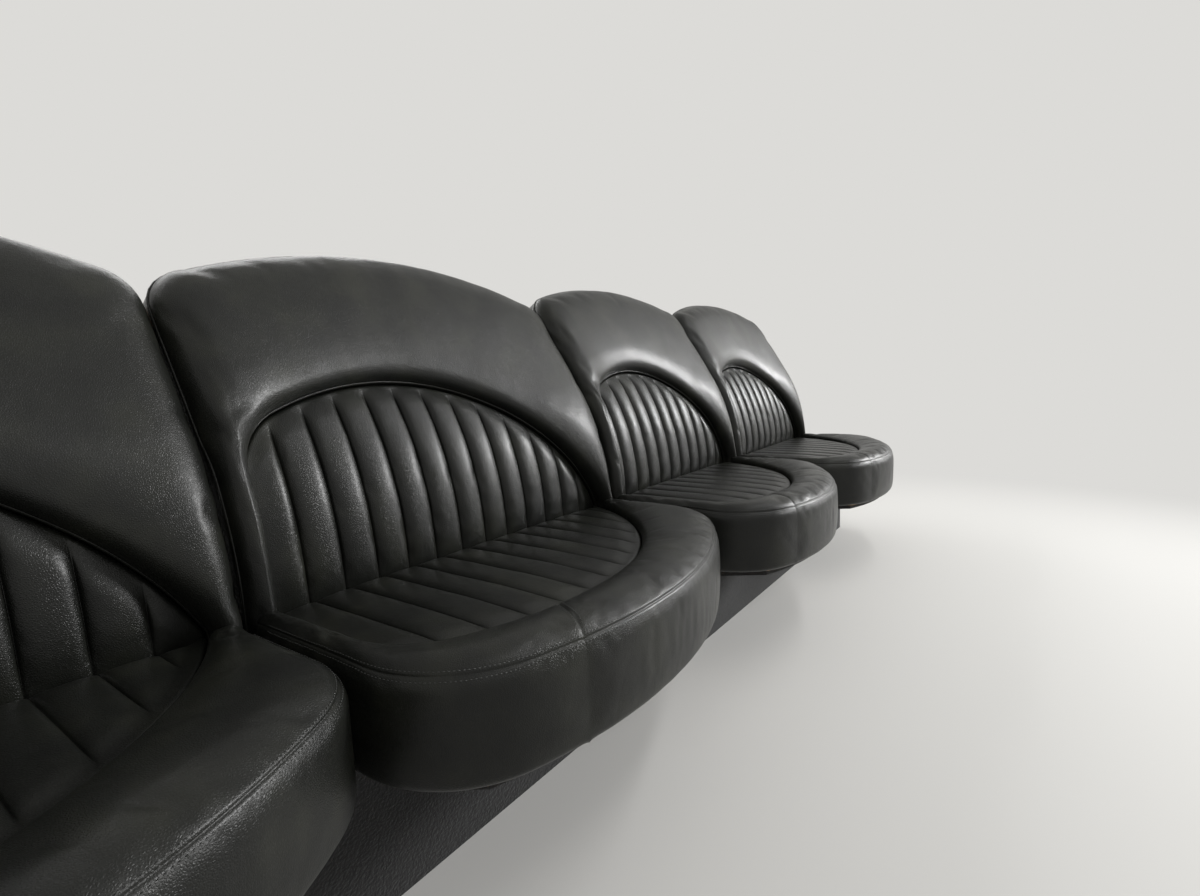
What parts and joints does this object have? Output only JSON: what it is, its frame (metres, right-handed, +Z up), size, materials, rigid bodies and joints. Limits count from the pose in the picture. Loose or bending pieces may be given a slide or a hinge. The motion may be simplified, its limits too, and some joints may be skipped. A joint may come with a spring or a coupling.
{
  "type": "limousine side bench seat",
  "caption": "Long side bench seat of a stretch limousine, in black leather, with scalloped backs, D-shaped cushions and pleated insets.",
  "frame": {"origin": "middle of the bench at floor level, at the centre of its overall box", "axes": "+X along the bench to the sitter's left, +Y to the side wall behind the backs, +Z up"},
  "size_m": [3.296, 0.78, 0.9749],
  "materials": {
    "leather": "satin pebble grain, soft, sewn over foam",
    "pleated_leather": "satin pebble grain, sewn in padded channels",
    "carpet": "cut-pile carpet glued to plywood",
    "plywood": "bare birch plywood",
    "timber": "planed softwood",
    "zinc_steel": "zinc plated"
  },
  "bodies": {
    "root": {"back_board_1": "plywood", "back_bolster_1": "leather", "back_panel_1": "pleated_leather", "cushion_board_1": "plywood", "cushion_border_1": "leather", "cushion_panel_1": "pleated_leather", "back_board_2": "plywood", "back_bolster_2": "leather", "back_panel_2": "pleated_leather", "cushion_board_2": "plywood", "cushion_border_2": "leather", "cushion_panel_2": "pleated_leather", "back_board_3": "plywood", "back_bolster_3": "leather", "back_panel_3": "pleated_leather", "cushion_board_3": "plywood", "cushion_border_3": "leather", "cushion_panel_3": "pleated_leather", "back_board_4": "plywood", "back_bolster_4": "leather", "back_panel_4": "pleated_leather", "cushion_board_4": "plywood", "cushion_border_4": "leather", "cushion_panel_4": "pleated_leather", "deck_board_left": "carpet", "kick_board_left": "carpet", "rear_board_left": "plywood", "end_board_left": "carpet", "deck_board_right": "carpet", "kick_board_right": "carpet", "rear_board_right": "plywood", "end_board_right": "carpet", "base_ribs": "plywood", "back_ribs": "plywood", "back_rail": "timber", "floor_brackets": "zinc_steel"}
  },
  "joints": []
}
